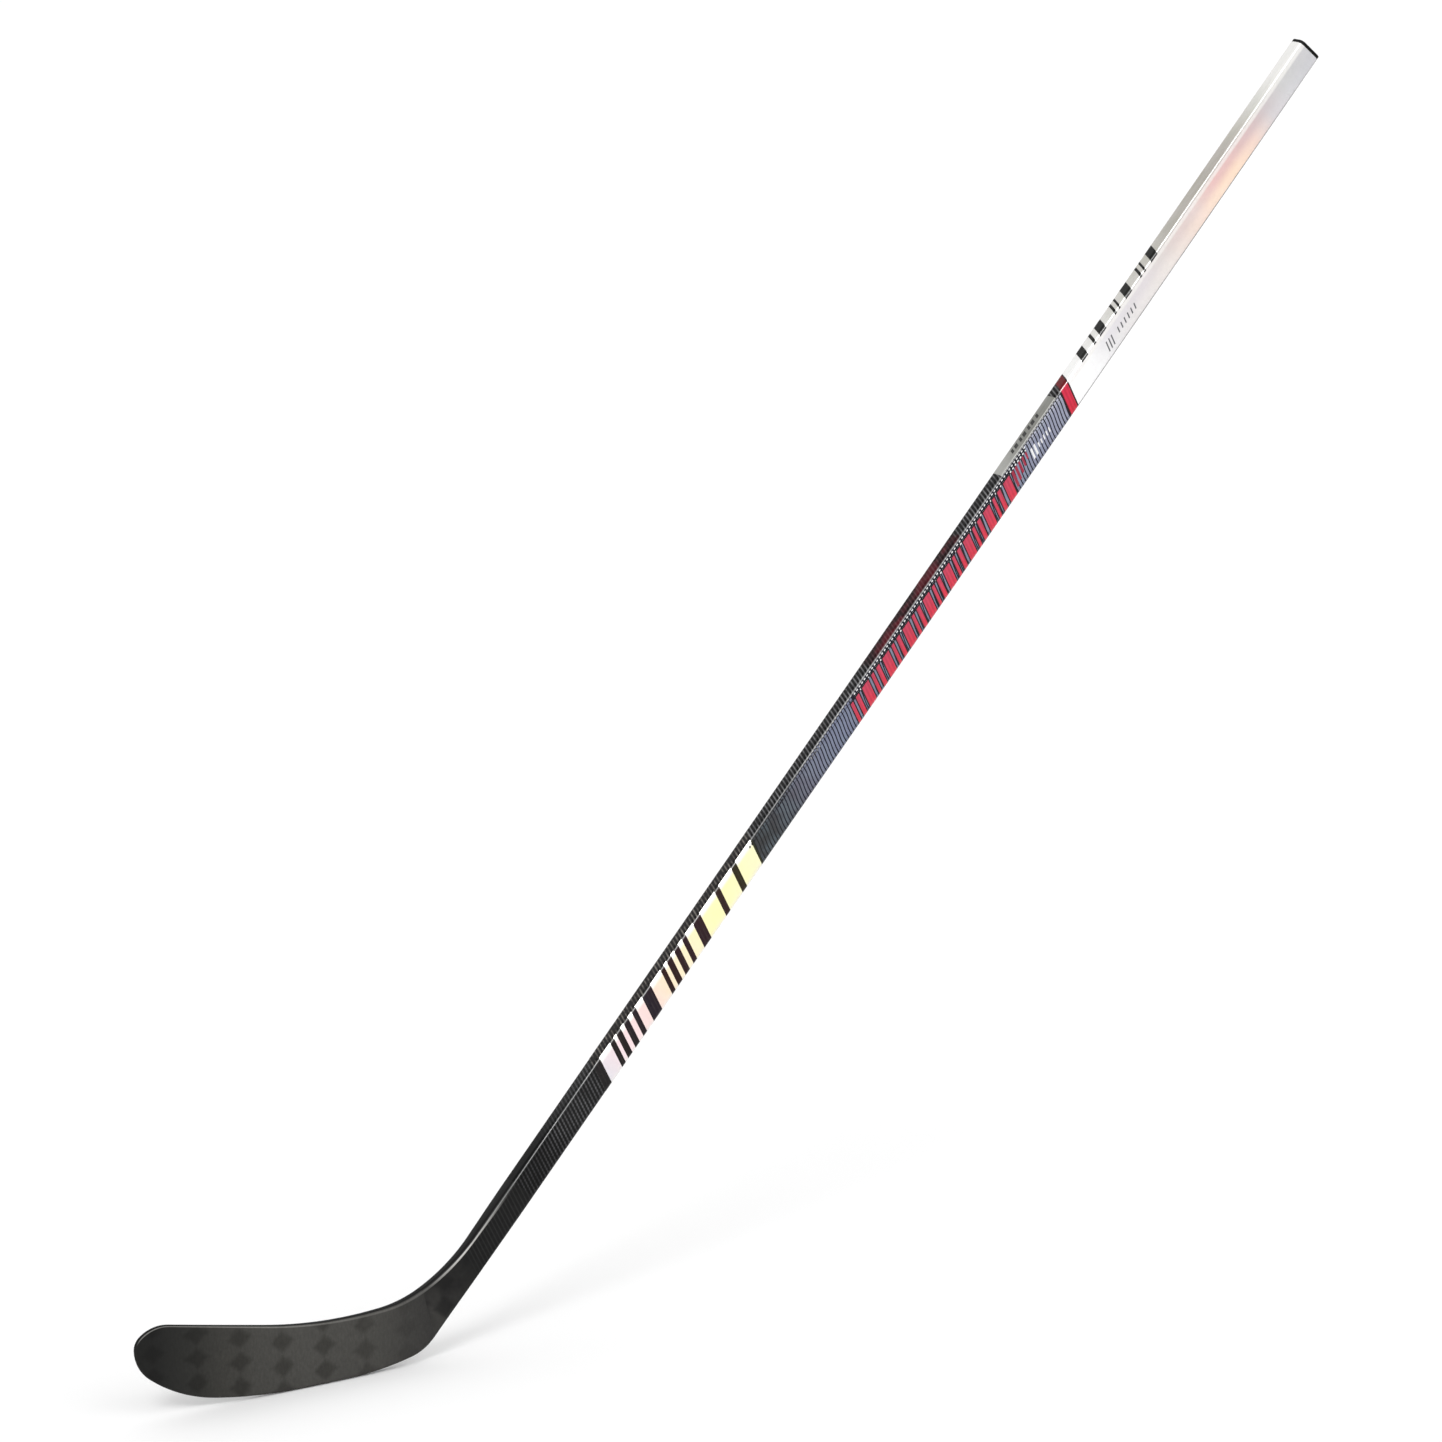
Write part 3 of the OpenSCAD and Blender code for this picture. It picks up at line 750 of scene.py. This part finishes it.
shaft_dir = heading(LIE)
front_dir = left_of(LIE)
heel_drop = advance(HEEL, 180 + LIE) + advance(BACK_ROCKER, 180 + LIE + HEEL[1])
hosel_top_back = shaft_dir * HOSEL_START - front_dir * HALF_WIDE
hosel_back_length = (hosel_top_back.y + heel_drop.y) / shaft_dir.y
seam_back = hosel_top_back - shaft_dir * hosel_back_length
SOLE_CHAIN = [HEEL, BACK_ROCKER, SOLE_FLAT, FRONT_ROCKER, TOE_RISE]
sole_points = [(seam_back, 180 + LIE)] + chain_points(SOLE_CHAIN, seam_back, 180 + LIE)
nose_points = chain_points([TOE_LOW, TOE_HIGH], *sole_points[-1])
top_corner = nose_points[-1]
bend_advance = (
    advance(TOP_BLEND, -TOP_EDGE_RISE)
    + advance(BLADE_BEND, TOP_BLEND[1] - TOP_EDGE_RISE)
    + advance(HOSEL_BEND, LIE - SEAM_TURN)
)
top_arc_end = top_corner[0] + advance(TOP_NOSE, top_corner[1])
top_line_length = (HALF_WIDE - front_dir.dot(top_arc_end + bend_advance)) / front_dir.dot(
    heading(-TOP_EDGE_RISE)
)
TOP_LINE = (top_line_length, 0, TOP_LINE_STEPS)
top_points = chain_points([TOP_NOSE, TOP_LINE, TOP_BLEND, BLADE_BEND], *top_corner)
EDGE = sole_points + nose_points + top_points
EDGE_LAST = len(EDGE) - 1
seam_front = EDGE[EDGE_LAST][0]
toe_tip = min(point.x for point, _ in EDGE)
flat_first = (HEEL[2] + BACK_ROCKER[2]) * REFINE
flat_last = flat_first + SOLE_FLAT[2] * REFINE
flat_middle = (sole_points[flat_first][0].x + sole_points[flat_last][0].x) / 2
STATIONS = len(sole_points) - 1
ROWS = len(nose_points)


def clamp(value):
    return max(0.0, min(1.0, value))


def blade_thickness(x):
    share = clamp((seam_back.x - x) / (seam_back.x - toe_tip))
    return TOE_THICKNESS + (SEAM_THICKNESS - TOE_THICKNESS) * (1 - share) ** THINNING


def plan_offset(point):
    share = clamp(point.x / toe_tip)
    return TOE_CURVE * share ** 2 - TOE_LOFT * share * (point.y - LOFT_HEIGHT)


flat_offset = plan_offset(Vector((flat_middle, 0)))


def in_space(point, y):
    """From the blade's plane to the part's frame, in metres."""
    return Vector((point.x - flat_middle, plan_offset(point) + y - flat_offset, point.y)) * MM


seam_line = (seam_front - seam_back).normalized()
TURN_IN_STEPS = 6 * REFINE


def section_dir(index):
    inward = left_of(EDGE[index][1] + 180)
    near = min(1.0, min(index, EDGE_LAST - index) / TURN_IN_STEPS)
    along = seam_line if index < EDGE_LAST / 2 else -seam_line
    blend = along * (1 - near) + inward * near
    return blend / blend.dot(inward)


def inset(index, depth):
    return EDGE[index][0] + section_dir(index) * depth


def edge_profile(thickness, radius):
    arc = [math.pi / 2 * i / EDGE_ARC_STEPS for i in range(EDGE_ARC_STEPS + 1)]
    low = [(radius * (1 - math.cos(a)), -thickness / 2 + radius * (1 - math.sin(a)))
           for a in reversed(arc)]
    high = [(radius * (1 - math.cos(a)), thickness / 2 - radius * (1 - math.sin(a))) for a in arc]
    return low + high


def rail_ring(index):
    edge_thickness = blade_thickness(EDGE[index][0].x)
    profile = edge_profile(edge_thickness, edge_thickness * EDGE_SHARE)
    inner_steps = (RAIL_WIDTH, (RAIL_WIDTH + profile[0][0]) / 2)
    points = []
    for depth in inner_steps:
        point = inset(index, depth)
        points.append(in_space(point, -blade_thickness(point.x) / 2))
    for depth, y in profile:
        point = inset(index, depth)
        points.append(in_space(point, y * blade_thickness(point.x) / edge_thickness))
    for depth in reversed(inner_steps):
        point = inset(index, depth)
        points.append(in_space(point, blade_thickness(point.x) / 2))
    return points


def grid_point(i, j):
    """A Coons patch between the rail's four inner edges."""
    u, v = i / STATIONS, j / ROWS
    sole, top = inset(i, RAIL_WIDTH), inset(EDGE_LAST - i, RAIL_WIDTH)
    corner_sole, corner_top = inset(0, RAIL_WIDTH), inset(EDGE_LAST, RAIL_WIDTH)
    nose_first, nose_last = inset(STATIONS, RAIL_WIDTH), inset(STATIONS + ROWS, RAIL_WIDTH)
    seam = corner_sole.lerp(corner_top, v)
    nose = inset(STATIONS + j, RAIL_WIDTH)
    return (
        sole * (1 - v) + top * v + seam * (1 - u) + nose * u
        - (corner_sole * (1 - v) + corner_top * v) * (1 - u)
        - (nose_first * (1 - v) + nose_last * v) * u
    )


def face_skin(side):
    """One face ply: its outer surface, its inner surface and the wall between them."""
    shell = Shell()
    grid = [[grid_point(i, j) for j in range(ROWS + 1)] for i in range(STATIONS + 1)]
    width = ROWS + 1
    count = width * (STATIONS + 1)
    for depth in (0, FACE_PLY):
        for line in grid:
            for point in line:
                half = blade_thickness(point.x) / 2 - depth
                shell.points.append(in_space(point, side * half))
    for base in (0, count):
        for i in range(STATIONS):
            for j in range(ROWS):
                a = base + i * width + j
                shell.faces.append((a, a + 1, a + width + 1, a + width))
    rim = [(i * width, (i + 1) * width) for i in range(STATIONS)]
    rim += [(STATIONS * width + j, STATIONS * width + j + 1) for j in range(ROWS)]
    rim += [((i + 1) * width + ROWS, i * width + ROWS) for i in reversed(range(STATIONS))]
    rim += [(j + 1, j) for j in reversed(range(ROWS))]
    for a, b in rim:
        shell.faces.append((a, b, b + count, a + count))
    return shell


hosel_bend_start = seam_front + advance(HOSEL_BEND, LIE - SEAM_TURN)
hosel_line = HOSEL_START - shaft_dir.dot(hosel_bend_start)
HOSEL_STEPS = (HOSEL_LINE_STEPS + HOSEL_BEND[2]) * REFINE


def hosel_front(i):
    line_steps = HOSEL_LINE_STEPS * REFINE
    if i <= line_steps:
        return hosel_bend_start + shaft_dir * hosel_line * (1 - i / line_steps)
    share = (i - line_steps) / (HOSEL_BEND[2] * REFINE)
    return hosel_bend_start + advance((HOSEL_BEND[0], -SEAM_TURN), 180 + LIE, share)


def hosel_ring(i, depth):
    share = i / HOSEL_STEPS
    share = share * share * (3 - 2 * share)
    back = hosel_top_back - shaft_dir * hosel_back_length * i / HOSEL_STEPS
    front = hosel_front(i)
    across_dir = (front - back).normalized()
    full = 2 * HALF_NARROW
    thickness = full + (SEAM_THICKNESS - full) * share
    radius = CORNER + (SEAM_THICKNESS * EDGE_SHARE - CORNER) * share
    profile = edge_profile(thickness - 2 * depth, max(radius - depth, 1))
    ring = [in_space(back + across_dir * (p[0] + depth), p[1]) for p in profile]
    return ring + [in_space(front - across_dir * (p[0] + depth), p[1]) for p in reversed(profile)]


# ---- Pieces ----

FILM = 0.12
PRINT = 0.17
OVERPRINT = 0.23
PEARL_END = 407.0
BAND_LENGTH = 13.4
BAND_MIDDLE = PEARL_END + BAND_LENGTH / 2
STRIPE_START = PEARL_END + BAND_LENGTH
STRIPE_END = 938.0
STRIPE_PITCH = 4.2
STRIPE_SHARE = 0.67
WEAVE_PITCH = 4.24
FOIL_GROUND_END = 1197.0
LABEL_START = 425.0
LABEL_END = 516.5
LABEL_EDGE = 7.6
CORNER_LINE = (8.1, 8.8)
TICK_PLACES = (9.5, 13.0)
WIDE_START = 9.3
WIDE_END = 38.0


def build_outer_ply():
    """The visible outer ply of the shaft, with its inner surface."""
    shell = Shell()
    shell.sleeve(lambda s: CAP_PLATE, lambda s: SHAFT_END, -PLY_WALL, 0)
    add_piece("shaft_skin", shell, carbon_look(), ["shaft_outer_ply"])


def build_cap():
    """Plate with a raised, rounded rim round a shallow recess, and a hollow plug."""
    bore = -(PLY_WALL + TUBE_WALL)
    rings = [
        (0.4, -4.6), (0.4, -3.3), (0.32, -3.1), (0.1, -2.9), (0, -2.6), (0, -0.8),
        (0.06, -0.4), (0.22, -0.12), (0.5, 0), (3.2, 0), (3.4, -0.1), (CAP_PLATE, -0.35),
        (CAP_PLATE, bore - 0.25), (CAP_PLATE + CAP_PLUG, bore - 0.25),
        (CAP_PLATE + CAP_PLUG, bore - CAP_WALL), (CAP_PLATE + 3, bore - CAP_WALL),
    ]
    shell = Shell()
    shell.rings([[place(t, s, out) for s in RING] for t, out in rings])
    add_piece("end_cap", shell, cap_look(), ["butt_cap"], 25)


def build_pearl():
    shell = Shell()
    shell.sleeve(lambda s: CAP_PLATE, lambda s: PEARL_END + slant(s), 0, FILM)
    add_piece("pearl_wrap", shell, pearl_look(), ["pearl_film"])


def build_band():
    shell = Shell()
    shell.sleeve(lambda s: PEARL_END + slant(s), lambda s: STRIPE_START + slant(s), 0, FILM)
    add_piece("red_band", shell, band_look(), ["red_band_film"])


def build_stripe_ground():
    shell = Shell()
    shell.sleeve(lambda s: STRIPE_START + slant(s), lambda s: STRIPE_END + slant(s), 0, FILM)
    add_piece("stripe_ground", shell, stripe_ground_look(), ["pinstripe_film"])


STRIPE_GAP = 1.2
BOW_DEPTH = 0.55
BOW_HALF_WAVE = 13
BOW_STEP = 3.5
BOW_STEPS = 4


def bow(s):
    """The stripes bend a little, like a flat S, across the wide side."""
    return BOW_DEPTH * math.sin(math.pi * (abs(s) - (S2 + S3) / 2) / BOW_HALF_WAVE)


def build_stripes():
    shell = Shell()
    count = int((STRIPE_END - STRIPE_START) / STRIPE_PITCH)
    for k in range(count):
        first = STRIPE_START + STRIPE_GAP + STRIPE_PITCH * k
        last = first + STRIPE_PITCH * STRIPE_SHARE
        ticks = TICKS_START < first < TICKS_END
        low_s = TICK_PLACES[1] + 0.5 if ticks else WIDE_START
        bends = {S2 + BOW_STEP * n for n in range(1, BOW_STEPS + 1)}
        places = sorted(set(ladder(low_s, WIDE_END, 5)) | bends)
        for side in SIDES:
            shell.strip(
                [side * s for s in places],
                lambda s: first + slant(s) + bow(s),
                lambda s: last + slant(s) + bow(s),
                FILM,
                PRINT,
            )
    add_piece("silver_stripes", shell, silver_look())


TICKS_START = 482.0
TICKS_END = 772.0
TICK_LENGTH = 2.1


def build_ticks():
    shell = Shell()
    count = int((TICKS_END - TICKS_START) / STRIPE_PITCH)
    for k in range(count):
        first = TICKS_START + STRIPE_PITCH * k
        shell.both(first, first + TICK_LENGTH, *TICK_PLACES, FILM, PRINT, 4)
    add_piece("corner_ticks", shell, ink_look("white_print", "eeeeef", 0.05),
              ["corner_tick_prints"])


TRAILS = ((827, 5), (878, 6), (932, 4))
TRAIL_PITCH = 3.5
TRAIL_LENGTH = 1.9
TRAIL_PLACES = (10.2, 11.8)


def build_corner_lines():
    """The line along the corner, and three short trails of small ticks beside it."""
    shell = Shell()
    shell.both(STRIPE_START + 3, FOIL_START - 1, *CORNER_LINE, FILM, PRINT, 6)
    for start, count in TRAILS:
        for k in range(count):
            first = start + TRAIL_PITCH * k
            shell.both(first, first + TRAIL_LENGTH, *TRAIL_PLACES, PRINT, OVERPRINT, 4)
    add_piece("corner_lines", shell, corner_line_look())


LABEL_BARS_START = 452
LABEL_BARS_PITCH = 6.9
LABEL_BAR_LENGTHS = (3.2, 4.6)
LABEL_BAR_PLACES = (-2.6, 3.2)
LABEL_BAR_COUNT = 7


def build_label():
    """The label on the front narrow side, with plain bars in place of its print."""
    shell = Shell()
    places = ladder(-LABEL_EDGE, LABEL_EDGE, 8)
    shell.strip(places, lambda s: LABEL_START, lambda s: LABEL_END, FILM, PRINT)
    add_piece("narrow_label", shell, label_look(), ["side_label"])
    marks = Shell()
    for k in range(LABEL_BAR_COUNT):
        first = LABEL_BARS_START + LABEL_BARS_PITCH * k
        length = LABEL_BAR_LENGTHS[k % 2]
        marks.bar(first, first + length, *LABEL_BAR_PLACES, PRINT, OVERPRINT)
    add_piece("label_bars", marks, ink_look("label_ink", "2d2d2c", 0.06))


DARK_BARS = ((0, 10.5), (19.5, 22), (26, 29))
DARK_GROUPS = (
    (255, DARK_BARS),
    (298.5, DARK_BARS),
    (342.5, ((0, 10.5), (17, 20.5), (31, 41))),
)
DARK_REACH = 9.6


def build_dark_marks():
    """Three groups of slanted bars on the narrow side of the pearl part."""
    shell = Shell()
    for start, bars in DARK_GROUPS:
        for first, last in bars:
            shell.bar(start + first, start + last, -DARK_REACH, DARK_REACH, FILM, PRINT, 8)
    add_piece("dark_marks", shell, ink_look("dark_print", "0f100d", 0.04, 0.12),
              ["dark_block_prints"])


# Rows of dashes: first place, pitch, count, the two ends round the shaft, and for the
# white ones the length of a dash
GREY_ROWS = ((302, 5.6, 6, 18.6, 24.2), (340.4, 4.2, 3, 17.8, 27.4))
GREY_DASH = 1.5
WHITE_ROWS = ((448, 4.4, 5, 18.8, 23.2, 1.7), (470.5, 4.9, 2, 16.4, 26.2, 2.6))
THIN_RED_START = 483
THIN_RED_PITCH = 5.4
THIN_RED_PLACES = (13.6, 20)
THIN_RED_COUNT = 5
THIN_RED_LENGTH = 2.2
THIN_RED_LENGTHENING = 0.3
THIN_RED_WIDENING = 2.2


def build_small_marks():
    """Plain dashes, in place of the small print."""
    grey = Shell()
    for start, pitch, count, low_s, high_s in GREY_ROWS:
        for k in range(count):
            first = start + pitch * k
            grey.both(first, first + GREY_DASH, low_s, high_s, FILM, PRINT)
    add_piece("grey_marks", grey, ink_look("grey_print", "5c5c60", 0.1))
    white = Shell()
    for start, pitch, count, low_s, high_s, length in WHITE_ROWS:
        for k in range(count):
            first = start + pitch * k
            white.both(first, first + length, low_s, high_s, PRINT, OVERPRINT)
    add_piece("white_marks", white, ink_look("marks_white", "e6e6e8", 0.05))
    red = Shell()
    for k in range(THIN_RED_COUNT):
        first = THIN_RED_START + THIN_RED_PITCH * k
        last = first + THIN_RED_LENGTH + THIN_RED_LENGTHENING * k
        low_s, high_s = THIN_RED_PLACES
        red.both(first, last, low_s, high_s + THIN_RED_WIDENING * k, PRINT, OVERPRINT)
    add_piece("thin_red_bars", red, ink_look("thin_red", "9c2840", 0.1))


RED_START = 511.5
RED_PITCH = 33.9
RED_COUNT = 8
RED_BARS = ((0.0, 10.0), (15.6, 20.4), (25.2, 28.8))
RED_PLACES = (13.2, 39.0)
RED_RIM = 1.4
RED_RIM_BACK = 1.0
OVER_RED = 0.02


def build_red_marks():
    """Eight groups of three slanted bars of falling width, outlined in black."""
    red = Shell()
    outline = Shell()
    low_s, high_s = RED_PLACES
    low, high = OVERPRINT - OVER_RED, OVERPRINT + OVER_RED
    for k in range(RED_COUNT):
        for first, last in RED_BARS:
            a = RED_START + RED_PITCH * k + first
            b = RED_START + RED_PITCH * k + last
            red.both(a, b, low_s, high_s, low, high)
            outline.both(a - RED_RIM, b + RED_RIM, low_s - RED_RIM, high_s + RED_RIM_BACK, PRINT, low)
    add_piece("red_mark_outline", outline, ink_look("outline_ink", "1c1218", 0.05))
    add_piece("red_marks", red, red_mark_look(), ["red_block_prints"])


FOIL_START = 940.0
FOIL_PLACES = (6.9, 38.6)
FOIL_BLOCKS = (
    (FOIL_START, ((0, 24.5), (32, 52), (59, 83.3))),
    (1035.0, ((0, 12), (18, 24), (31, 36), (43, 47.5), (53, 69.5))),
    (1118.4, ((0, 11), (17, 23), (30, 35), (42, 46), (52, 69))),
)


def build_foil():
    """Three blocks of slanted foil bars on a dark ground."""
    ground = Shell()
    ground.sleeve(lambda s: STRIPE_END + slant(s), lambda s: FOIL_GROUND_END + slant(s), 0, FILM)
    add_piece("foil_ground", ground, foil_ground_look())
    shell = Shell()
    for start, bars in FOIL_BLOCKS:
        for first, last in bars:
            shell.both(start + first, start + last, *FOIL_PLACES, FILM, PRINT, 8)
    add_piece("foil_bars", shell, foil_look(), ["foil_block_prints"])


def build_hosel():
    shell = Shell()
    outer = [hosel_ring(i, 0) for i in range(HOSEL_STEPS + 1)]
    inner = [hosel_ring(i, HOSEL_WALL) for i in range(HOSEL_STEPS + 1)]
    shell.rings(outer + inner[::-1], closed=True)
    add_piece("hosel_wrap", shell, hosel_look(), ["hosel_laminate"])


def build_blade():
    shell = Shell()
    shell.rings([rail_ring(i) for i in range(EDGE_LAST + 1)])
    add_piece("blade_rim", shell, blade_look("blade_edge", rim=True), ["blade_edge_rail"])
    for name, side, node in (("forehand_skin", 1, "forehand_face_ply"),
                             ("backhand_skin", -1, "backhand_face_ply")):
        add_piece(name, face_skin(side), blade_look(name + "_tow"), [node])


def dress_cores():
    """Materials for the inner CAD nodes, which keep their meshes."""
    foam = core_look("blade_foam", ("d5c99c", "e2d8b4"), 900, 0.4)
    resin = core_look("core_resin", ("55514a", "6a655a"), 500)
    laminate = core_look("carbon_laminate", ("242426", "323235"), 350, 0.15)
    looks = {
        "lower_foam_core": foam,
        "upper_foam_core": foam,
        "heel_core": resin,
        "blade_tenon": resin,
        "core_bridge_rib": laminate,
        "shaft_tube": laminate,
    }
    for node, material in looks.items():
        slots = frame["nodes"][node].data.materials
        slots.clear()
        slots.append(material)


# ---- Floor, light and camera ----


FLOOR_HALF = 60
FLOOR_DROP = 0.0005


def add_floor():
    size = FLOOR_HALF
    mesh = bpy.data.meshes.new("floor")
    corners = [(-size, -size, 0), (size, -size, 0), (size, size, 0), (-size, size, 0)]
    mesh.from_pydata([(x, y, z - FLOOR_DROP) for x, y, z in corners], [], [(0, 1, 2, 3)])
    floor = bpy.data.objects.new("floor", mesh)
    bpy.context.scene.collection.objects.link(floor)
    look = Look("floor")
    colour = look.mix(look.scaled(look.noise(0.6, 2), 0.3, 0.7, 0, 1), "fafafa", "fcfcfc")
    mesh.materials.append(look.finish(colour, 0.9, 0.0))


def add_sun(name, toward, strength, angle):
    data = bpy.data.lights.new(name, "SUN")
    data.energy = strength
    data.angle = math.radians(angle)
    light = bpy.data.objects.new(name, data)
    light.rotation_mode = "QUATERNION"
    light.rotation_quaternion = Vector(toward).to_track_quat("Z", "Y")
    bpy.context.scene.collection.objects.link(light)
    return light


def add_light():
    world = bpy.data.worlds.new("studio")
    bpy.context.scene.world = world
    world.use_nodes = True
    background = world.node_tree.nodes["Background"]
    background.inputs["Color"].default_value = (1, 1, 1, 1)
    background.inputs["Strength"].default_value = 0.84
    add_sun("key", (-0.50, -0.51, 0.70), 0.8, 20)
    add_sun("fill", (0.35, -0.75, 0.55), 0.35, 40)
    gleam = add_sun("gleam", (-0.52, -0.477, 0.707), 5.5, 10)
    gleam.visible_diffuse = False


CAMERA_PLACE = Vector((-2.503, -5.077, 1.945))
CAMERA_TURNS = (29.55, -13.45, -2.78)
CAMERA_LENS = 161.965
CAMERA_SENSOR = 36


def add_camera():
    """The camera of the photograph, placed from the foot of the shaft's middle line."""
    yaw, pitch, roll = (math.radians(turn) for turn in CAMERA_TURNS)
    ahead = math.cos(pitch)
    forward = Vector((math.sin(yaw) * ahead, math.cos(yaw) * ahead, math.sin(pitch)))
    level = forward.cross(Vector((0, 0, 1))).normalized()
    upright = level.cross(forward)
    right = level * math.cos(roll) + upright * math.sin(roll)
    up = upright * math.cos(roll) - level * math.sin(roll)
    data = bpy.data.cameras.new("camera")
    data.sensor_width = CAMERA_SENSOR
    data.lens = CAMERA_LENS
    camera = bpy.data.objects.new("camera", data)
    bpy.context.scene.collection.objects.link(camera)
    turn = camera.matrix_world.to_3x3()
    for row in range(3):
        turn[row][0] = right[row]
        turn[row][1] = up[row]
        turn[row][2] = -forward[row]
    camera.matrix_world = turn.to_4x4()
    camera.location = AXIS_FOOT + CAMERA_PLACE
    bpy.context.scene.camera = camera


build_outer_ply()
build_cap()
build_pearl()
build_band()
build_stripe_ground()
build_stripes()
build_ticks()
build_corner_lines()
build_label()
build_dark_marks()
build_small_marks()
build_red_marks()
build_foil()
build_hosel()
build_blade()
dress_cores()
add_floor()
add_light()
add_camera()
bpy.context.scene.view_settings.view_transform = "Standard"
